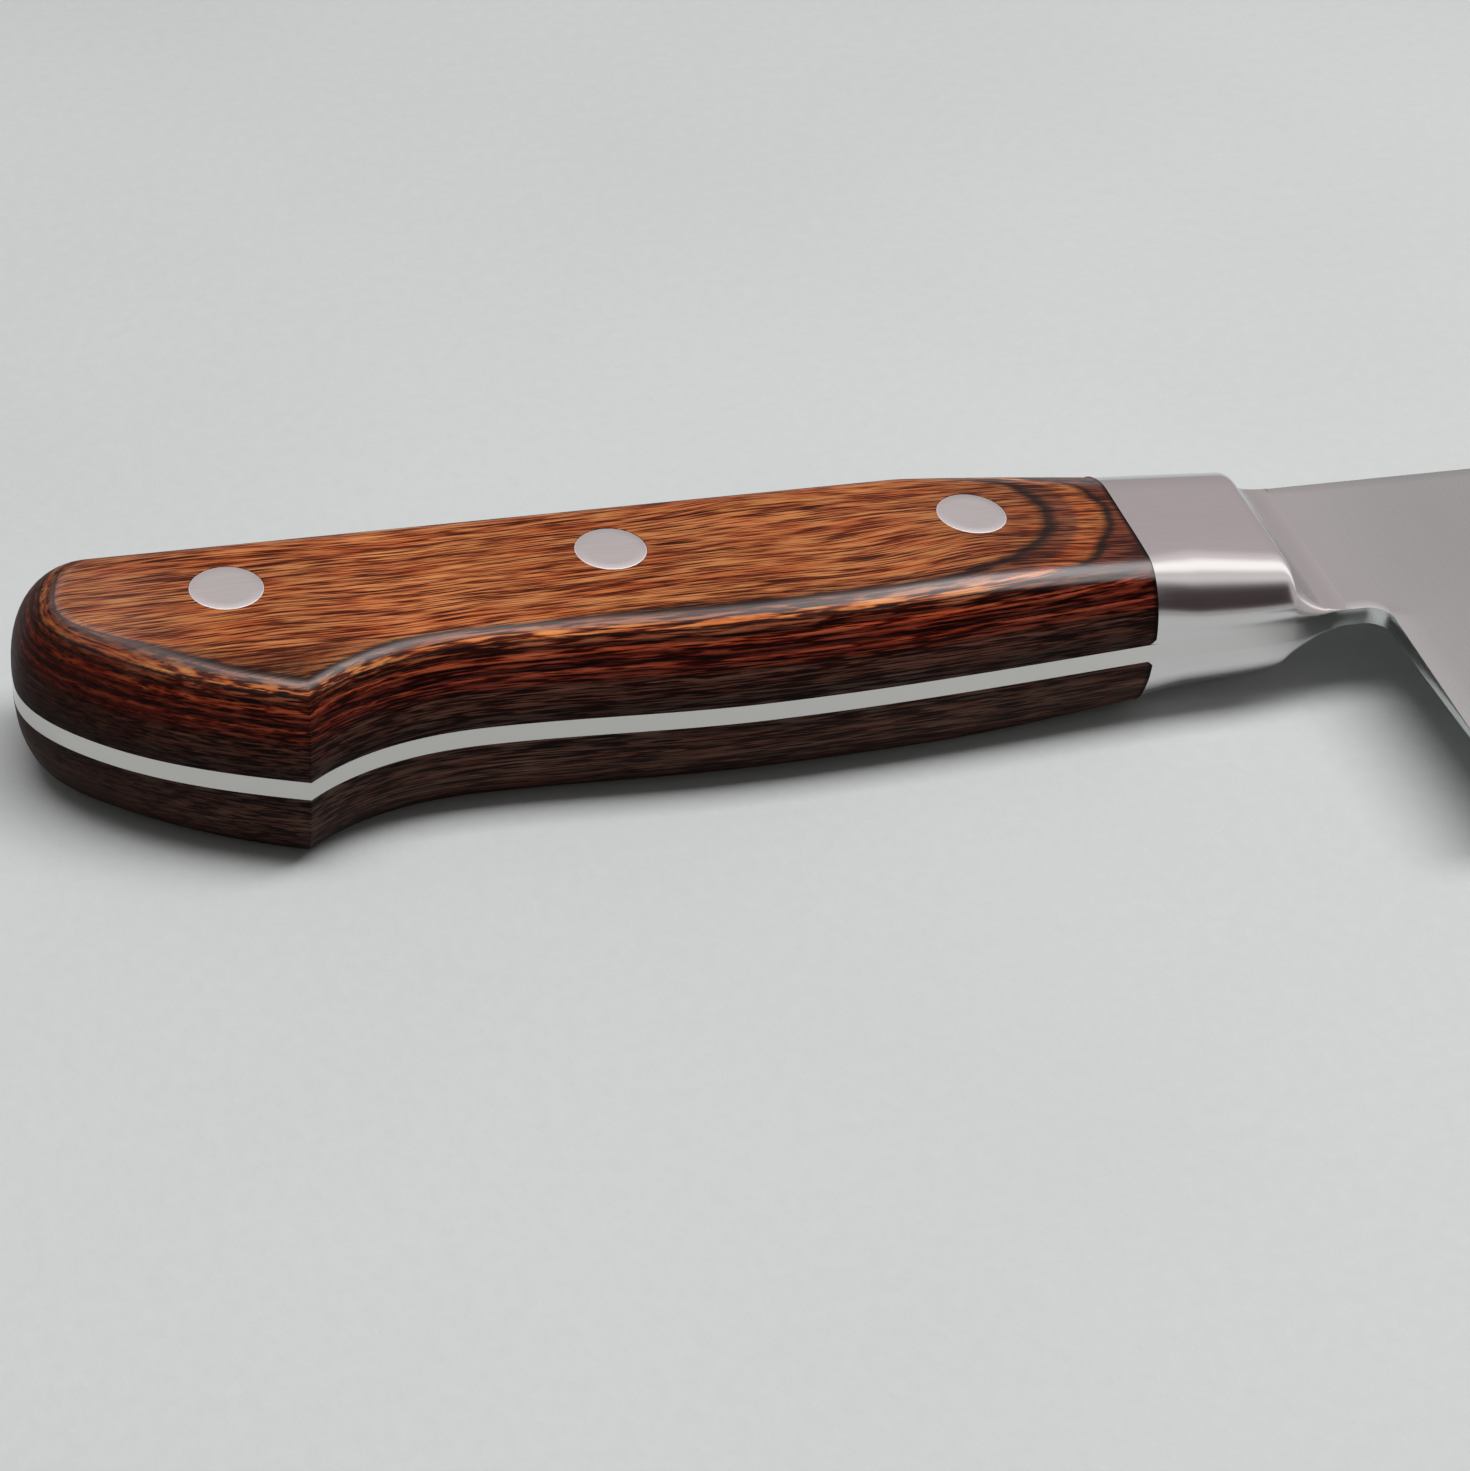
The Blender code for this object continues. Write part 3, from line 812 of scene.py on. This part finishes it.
# Station and height of the top along the bolster, over its crest and down the hollow fillet
def bolsterProfile():
    rear = knife["handleLength"] + bolster["jointGap"]
    front = knife["bolsterFront"]
    base = knife["halfTang"]
    radius = bolster["fillet"]
    crest = halfThickness(front)
    centre = Vector((front + math.sqrt(radius ** 2 - (radius + base - crest) ** 2), base + radius))
    firstAngle = math.asin((radius + base - crest) / radius)
    soft = bolster["edgeRadius"]
    startAngle = firstAngle + soft / radius
    rows = []
    for step in range(bolster["bodySteps"] + 1):
        station = rear + (front - soft - rear) * step / bolster["bodySteps"]
        rows.append((station, halfThickness(station)))
    entry = Vector(rows[-1])
    corner = Vector((front, crest))
    leave = centre - radius * Vector((math.cos(startAngle), math.sin(startAngle)))
    for step in range(1, bolster["edgeSteps"] + 1):
        share = step / bolster["edgeSteps"]
        point = entry.lerp(corner, share).lerp(corner.lerp(leave, share), share)
        rows.append((point.x, point.y))
    for step in range(1, bolster["filletSteps"] + 1):
        angle = startAngle + (math.pi / 2 - startAngle) * step / bolster["filletSteps"]
        rows.append((centre.x - radius * math.cos(angle), centre.y - radius * math.sin(angle)))
    return rows


# The flat rolls off gently before the crown on the belly side
def rollOff(station, depth, height, crownDepth, base, top):
    width = bolster["camberWidth"]
    past = depth - (crownDepth - width)
    if past <= 0 or top - base < bolster["camberLeast"]:
        return station, depth, height
    fall = bolster["camberSlope"] * (past ** 2 / (2 * width) if past < width else past - width / 2)
    return station, depth, height - fall * max(0.0, (height - base) / (top - base)) ** 2


def makeBolster(name, side, replaced):
    base = knife["halfTang"]
    junctionRise = halfThickness(knife["handleLength"]) - base
    length = knife["bolsterFront"] - knife["handleLength"]
    rows = []
    for station, top in bolsterProfile():
        share = (top - base) / junctionRise
        depth = depthAt(bellyBolster, station)
        along = min(1.0, (station - knife["handleLength"]) / length)
        grown = clamped(along / bolster["insetReach"])
        inset = scale["frontInset"] * share * (1 + bolster["insetGrowth"] * grown)
        spineInset = scale["spineFrontInset"] * share * (1 + bolster["spineGrowth"] * along)
        column = [Vector((station, y)) for y in (depth, depth - inset, 0.0, spineInset)]
        least = max(top, base + bolster["leastRise"])
        points = handleColumn(*column, base, bolster["wallSteps"], bolster["flatSteps"], lambda _: least)
        points = [rollOff(*point, depth - inset, base, top) for point in points]
        rows.append([place(x, y, z * side) for x, y, z in points])
    # the rear end reaches under the rounded toe of the scale
    toe = scale["toeRadius"]
    rear = rows[0]
    for index, point in enumerate(rear):
        lift = abs(point.z / mm - knife["halfHandle"]) - base
        if lift < toe:
            reach = toe - math.sqrt(max(0.0, toe ** 2 - (toe - lift) ** 2))
            rear[index] = point - Vector((reach * mm, 0, 0))
    finishPiece(closedSkin(rows), name, bolsterSteel, replaced)


makeBolster("upperBolster", 1, ["bolster_upper"])
makeBolster("lowerBolster", -1, ["bolster_lower"])
print("bolster made")

blade = {
    "length": 240.0,
    "tipDepth": 16.0,
    "midDepth": 45.6,
    # headings of the edge at the heel, the middle and the tip, and of the spine at the tip
    "edgeHeadings": (-1, -7, -38),
    "spineHeading": 20,
    "spineDropShare": 0.58,
    "choilRadius": 2.2,
    "tipHalf": 0.35,
    # the grind falls late at the choil and early in front of the fade
    "earlyPower": 2.2,
    "latePower": 1.25,
    "fadeLength": 26.0,
    "bevelDepth": 1.2,
    "bevelHalf": 0.20,
    "edgeHalf": 0.04,
    "neckSteps": (8, 12),
    "edgeSteps": 90,
    "neckRows": 16,
    "heelRows": 22,
    "bladeColumns": 110,
    # columns crowd towards the tip
    "columnPower": 1.25,
    # edges sharper than this, in degrees, are softened from here behind the neck's start, where the
    # blade is thicker than twice this half, in mm
    "crispAngle": 60,
    "crispRear": 1.5,
    "crispHalf": 0.25,
    "edgeSoftness": 0.09,
    "sharpAngle": 28,
}


# Half thickness of the ground blade
def bladeHalf(station, depth, edgeDepth):
    run = clamped((station - knife["choil"]) / blade["length"])
    spineHalf = knife["halfTang"] + (blade["tipHalf"] - knife["halfTang"]) * run
    share = edgeDepth / knife["bladeHeight"]
    fromEdge = max(0.0, edgeDepth - depth)
    bevel = blade["bevelDepth"] * share
    if fromEdge <= bevel:
        return blade["edgeHalf"] + (blade["bevelHalf"] - blade["edgeHalf"]) * fromEdge / bevel
    down = depth / (edgeDepth - bevel)
    full = spineHalf - blade["bevelHalf"]
    hold = knife["neckDepth"] / knife["bladeHeight"]
    late = max(0.0, down - hold) / (1 - hold)
    fade = clamped((station - knife["choil"]) / blade["fadeLength"])
    fall = late ** blade["latePower"] * (1 - fade) + down ** blade["earlyPower"] * fade
    return blade["bevelHalf"] + full * (1 - fall)


# The tang, from spine to belly, and the blade in front of the choil, from spine to edge
def bladeRows():
    choil = knife["choil"]
    radius = blade["choilRadius"]
    neckRows = blade["neckRows"]
    neckKnots = [bolsterKnots[-1], knot(choil - radius, knife["neckDepth"], 0),
                 knot(choil, knife["neckDepth"] + radius, 90)]
    neck = sampleOutline(neckKnots, blade["neckSteps"])
    tangRows = []
    for index, foot in enumerate(bellyButt + bellyGrip[1:] + bellyBolster[1:] + neck[1:]):
        upper = spineButt[index] if index <= buttSteps[0] else Vector((foot.x, 0.0))
        line = [upper.lerp(foot, step / neckRows) for step in range(neckRows + 1)]
        tangRows.append([place(p.x, p.y, knife["halfTang"]) for p in line])
    tip = knife["length"]
    heelHeading, midHeading, tipHeading = blade["edgeHeadings"]
    edge = sampleOutline([knot(choil, knife["bladeHeight"], heelHeading),
                          knot(choil + blade["length"] / 2, blade["midDepth"], midHeading),
                          knot(tip, blade["tipDepth"], tipHeading)], (blade["edgeSteps"],) * 2)
    spine = sampleOutline([knot(choil + blade["length"] * blade["spineDropShare"], 0.0, 0),
                           knot(tip, blade["tipDepth"], blade["spineHeading"])], (blade["edgeSteps"],))
    # shares of the depth: evenly down to the choil, evenly to the bevel, and the edge
    split = (knife["neckDepth"] + radius) / knife["bladeHeight"]
    rest = 1 - blade["bevelDepth"] / knife["bladeHeight"] - split
    shares = [split * step / neckRows for step in range(neckRows + 1)]
    shares += [split + rest * step / blade["heelRows"] for step in range(1, blade["heelRows"] + 1)]
    shares.append(1.0)
    edgeRows = []
    for index in range(blade["bladeColumns"] + 1):
        run = 1 - (1 - index / blade["bladeColumns"]) ** blade["columnPower"]
        station = choil + blade["length"] * run
        top = depthAt(spine, station)
        bottom = depthAt(edge, station)
        line = []
        for along in shares:
            depth = top + (bottom - top) * along
            onTang = index == 0 and along <= split
            half = knife["halfTang"] if onTang else bladeHalf(station, depth, bottom)
            line.append(place(station, depth, half))
        edgeRows.append(line)
    return tangRows, edgeRows


def makeBlade():
    shape = bmesh.new()
    for rows in bladeRows():
        gridSkin(shape, rows)
    weld(shape)
    # the lower side is the mirror of the upper one
    both = shape.verts[:] + shape.edges[:] + shape.faces[:]
    copied = bmesh.ops.duplicate(shape, geom=both)
    lowerVerts = [item for item in copied["geom"] if isinstance(item, bmesh.types.BMVert)]
    lowerFaces = [item for item in copied["geom"] if isinstance(item, bmesh.types.BMFace)]
    middle = knife["halfHandle"] * mm
    flip = Matrix.Translation((0, 0, -middle))
    bmesh.ops.scale(shape, verts=lowerVerts, vec=(1, 1, -1), space=flip)
    bmesh.ops.reverse_faces(shape, faces=lowerFaces)
    bmesh.ops.bridge_loops(shape, edges=openEdges(shape))
    bmesh.ops.recalc_face_normals(shape, faces=shape.faces)
    start = place(knife["neckStart"] - blade["crispRear"], 0, 0).x
    thick = blade["crispHalf"] * mm
    crisp = []
    for edge in shape.edges:
        if len(edge.link_faces) == 2 and edge.calc_face_angle() > math.radians(blade["crispAngle"]):
            if all(v.co.x > start and abs(v.co.z - middle) > thick for v in edge.verts):
                crisp.append(edge)
    bmesh.ops.bevel(shape, geom=crisp, offset=blade["edgeSoftness"] * mm, offset_type="OFFSET",
                    segments=2, profile=0.5, affect="EDGES", material=-1)
    finishPiece(shape, "groundBlade", bladeSteel, ["blade"], blade["sharpAngle"])


makeBlade()
print("blade made")

rivet = {
    "headFloor": 4.6,
    # the rings of the flat head by share of its radius, and its rounded rim in shares of the rim's width
    "headRings": (0.0, 0.35, 0.7),
    "rim": 0.13,
    "rimSteps": ((-1.0, 0.0), (-0.35, -0.3), (0.0, -0.7)),
    "shankRadius": 1.4,
    "shankEnd": -3.2,
    "socketRadius": 2.45,
    "socketBore": 1.7,
    "socketGap": 0.1,
    "boreFloor": -3.8,
    "turnSteps": 96,
    # points this close to the top belong to the head, in mm
    "headBand": 0.2,
    "sharpAngle": 50,
}


def turnPiece(name, profile, station, replaced, flushSide):
    shape = bmesh.new()
    corners = [shape.verts.new((r * mm, 0, z * mm)) for r, z in profile]
    edges = [shape.edges.new(pair) for pair in zip(corners, corners[1:])]
    bmesh.ops.spin(shape, geom=corners + edges, cent=(0, 0, 0), axis=(0, 0, 1), angle=math.tau,
                   steps=rivet["turnSteps"], use_merge=True)
    weld(shape)
    # the head is ground flush, so it follows the fall of the scale
    level = halfThickness(station)
    for vertex in shape.verts:
        if abs(vertex.co.z) / mm > level - rivet["headBand"]:
            vertex.co.z += flushSide * (halfThickness(station + vertex.co.x / mm) - level) * mm
    bmesh.ops.translate(shape, verts=shape.verts, vec=place(station, knife["rivetDepth"], 0))
    finishPiece(shape, name, rivetSteel, replaced, rivet["sharpAngle"])


for spot, station in zip(("rear", "middle", "front"), knife["rivetStations"]):
    top = halfThickness(station)
    head = knife["rivetRadius"]
    floor = rivet["headFloor"]
    crown = [(head * share, top) for share in rivet["headRings"]]
    crown += [(head + rivet["rim"] * out, top + rivet["rim"] * up) for out, up in rivet["rimSteps"]]
    stud = crown + [(head, floor), (rivet["shankRadius"], floor), (rivet["shankRadius"], rivet["shankEnd"]),
                    (0.0, rivet["shankEnd"])]
    mouth = floor - rivet["socketGap"]
    socket = [(r, -z) for r, z in crown] + [
        (head, -floor), (rivet["socketRadius"], -floor), (rivet["socketRadius"], mouth),
        (rivet["socketBore"], mouth), (rivet["socketBore"], rivet["boreFloor"]), (0.0, rivet["boreFloor"])]
    turnPiece(spot + "Stud", stud, station, ["rivet_%s_stud" % spot], 1)
    turnPiece(spot + "Socket", socket, station, ["rivet_%s_socket" % spot], -1)
print("rivets made")

studio = {
    "floorTone": srgb(203, 206, 205),
    # the darkest and lightest tone of the floor, as shares of that one
    "floorTones": (0.975, 1.025),
    # noise per mm, the broad one's share, and the strength and height of the texture
    "floorFine": 0.55,
    "floorBroad": 0.012,
    "broadShare": 1.5,
    "floorBump": (0.30, 0.0004),
    "floorRoughness": 0.75,
    "floorSpecular": 0.2,
    "floorSize": 3.0,
    # from here to there, in metres, the floor turns into a plain pale backdrop
    "backdrop": (0.42, 0.90),
    # one soft lamp overhead, by the angles that it spans as seen from the knife
    "lampHeight": 0.80,
    "lampLean": (-15, 10),
    "lampSweep": (-30, 40),
    "lampRadiance": 6.20,
    # the fill comes from overhead rather than from the sides, by height of its direction
    "fill": ((0.0, (0.0, 0.0, 0.0)), (0.15, (0.05, 0.05, 0.05)), (0.5, (0.20, 0.195, 0.192))),
    # what polished faces mirror, by angle from the zenith, in degrees, the camera's side negative
    "mirrored": (
        (-90, (0.52, 0.49, 0.48)), (-87, (0.48, 0.45, 0.44)), (-83, (0.060, 0.045, 0.045)),
        (-75, (0.060, 0.044, 0.044)), (-55, (0.072, 0.056, 0.056)), (-48, (0.11, 0.092, 0.092)),
        (-44, (0.17, 0.15, 0.15)), (-40, (0.32, 0.29, 0.29)), (-36, (0.54, 0.50, 0.50)),
        (-31, (0.80, 0.75, 0.75)), (-27, (0.90, 0.85, 0.84)), (-21, (0.88, 0.83, 0.82)),
        (-17, (0.80, 0.76, 0.75)), (-13, (0.93, 0.88, 0.87)), (-9, (1.20, 1.14, 1.13)),
        (-4, (1.52, 1.46, 1.45)), (10, (1.58, 1.52, 1.51)), (16, (1.40, 1.33, 1.32)),
        (21, (1.12, 1.05, 1.04)), (26, (0.93, 0.86, 0.86)), (36, (0.86, 0.77, 0.78)),
        (44, (0.76, 0.68, 0.69)), (52, (0.62, 0.55, 0.56)), (60, (0.580, 0.515, 0.52)),
        (90, (0.47, 0.42, 0.43)),
    ),
    # the dark card in it fills this part of the sweep from butt to tip, and beside it the tent goes on
    "cardSweep": (0.26, 0.32, 0.62, 0.74),
    "cardAround": (0.60, 0.54, 0.54),
    "cameraPlace": (-0.208369, -0.260394, 0.213113),
    "cameraTurn": (0.32301, 0.64533, 0.08274),
    "clipStart": 0.01,
    "sensorWidth": 36.0,
    "focalPixels": 3600.0,
    "framePixels": 1471.0,
}


def makeFloor():
    made, tree, shader = newMaterial("paleStudioFloor")
    coordinates = addNode(tree, "TexCoord")
    spot = stretched(tree, coordinates.outputs["Object"], (1 / mm,) * 3)
    fine = noise(tree, spot, 4.0, 0.6, studio["floorFine"])
    broad = noise(tree, spot, scale=studio["floorBroad"])
    tone = studio["floorTone"]
    low, high = [tuple(c * factor for c in tone) for factor in studio["floorTones"]]
    mixed = timesPlus(tree, centred(tree, broad), studio["broadShare"], fine)
    tree.links.new(ramp(tree, mixed, [(0.2, low), (0.8, high)]), shader.inputs["Base Color"])
    shader.inputs["Roughness"].default_value = studio["floorRoughness"]
    shader.inputs["Specular IOR Level"].default_value = studio["floorSpecular"]
    bump(tree, shader, fine, *studio["floorBump"])
    # camera rays see the far floor turn into the backdrop
    away = addNode(tree, "VectorMath")
    away.operation = "LENGTH"
    tree.links.new(coordinates.outputs["Object"], away.inputs[0])
    rays = addNode(tree, "LightPath")
    far = remap(tree, away.outputs["Value"], *studio["backdrop"])
    glow = addNode(tree, "Emission")
    glow.inputs["Color"].default_value = (*tone, 1)
    blend = addNode(tree, "MixShader")
    feed(tree, times(tree, far, rays.outputs["Is Camera Ray"]), blend.inputs[0])
    tree.links.new(shader.outputs[0], blend.inputs[1])
    tree.links.new(glow.outputs[0], blend.inputs[2])
    tree.links.new(blend.outputs[0], tree.nodes["Material Output"].inputs["Surface"])
    shape = bmesh.new()
    bmesh.ops.create_grid(shape, x_segments=4, y_segments=4, size=studio["floorSize"])
    floor = addObject(shape, "studioFloor")
    floor.data.materials.append(made)


def makeLight():
    world = bpy.data.worlds.new("lightTent")
    bpy.context.scene.world = world
    world.use_nodes = True
    tree = world.node_tree
    background = tree.nodes["Background"]
    direction = addNode(tree, "TexCoord")
    along, across, up = separated(tree, direction.outputs["Generated"])
    lean = calculate(tree, "ARCTAN2", across, up)
    share = remap(tree, lean, -math.pi / 2, math.pi / 2)
    mirrored = ramp(tree, share, [((angle + 90) / 180, color) for angle, color in studio["mirrored"]])
    opens, full, fades, ends = studio["cardSweep"]
    besideCard = plus(tree, remap(tree, along, opens, full, 1.0, 0.0), remap(tree, along, fades, ends))
    mirrored = mixColor(tree, besideCard, mirrored, studio["cardAround"], "LIGHTEN")
    fill = ramp(tree, up, studio["fill"])
    rays = addNode(tree, "LightPath")
    tone = mixColor(tree, rays.outputs["Is Glossy Ray"], fill, mirrored)
    tone = mixColor(tree, rays.outputs["Is Camera Ray"], tone, studio["floorTone"])
    tree.links.new(tone, background.inputs[0])
    # the mirrored tent above already holds the lamp, so gloss doesn't see it twice
    height = studio["lampHeight"]
    angles = studio["lampLean"] + studio["lampSweep"]
    low, high, left, right = [height * math.tan(math.radians(a)) for a in angles]
    lamp = bpy.data.lights.new("overheadLamp", "AREA")
    lamp.shape = "RECTANGLE"
    lamp.size = right - left
    lamp.size_y = high - low
    lamp.energy = studio["lampRadiance"] * math.pi * lamp.size * lamp.size_y
    mount = addToScene("overheadLamp", lamp)
    mount.location = ((left + right) / 2, (low + high) / 2, height)
    mount.visible_glossy = False


def makeCamera():
    camera = bpy.data.cameras.new("photoCamera")
    camera.sensor_width = studio["sensorWidth"]
    camera.lens = camera.sensor_width * studio["focalPixels"] / studio["framePixels"]
    camera.clip_start = studio["clipStart"]
    mount = addToScene("photoCamera", camera)
    azimuth, elevation, roll = studio["cameraTurn"]
    turn = (Matrix.Rotation(-azimuth, 4, "Z") @ Matrix.Rotation(math.pi / 2 - elevation, 4, "X")
            @ Matrix.Rotation(roll, 4, "Z"))
    mount.matrix_world = Matrix.Translation(studio["cameraPlace"]) @ turn
    bpy.context.scene.camera = mount


makeFloor()
makeLight()
makeCamera()
bpy.context.scene.view_settings.view_transform = "Standard"
print("studio made")
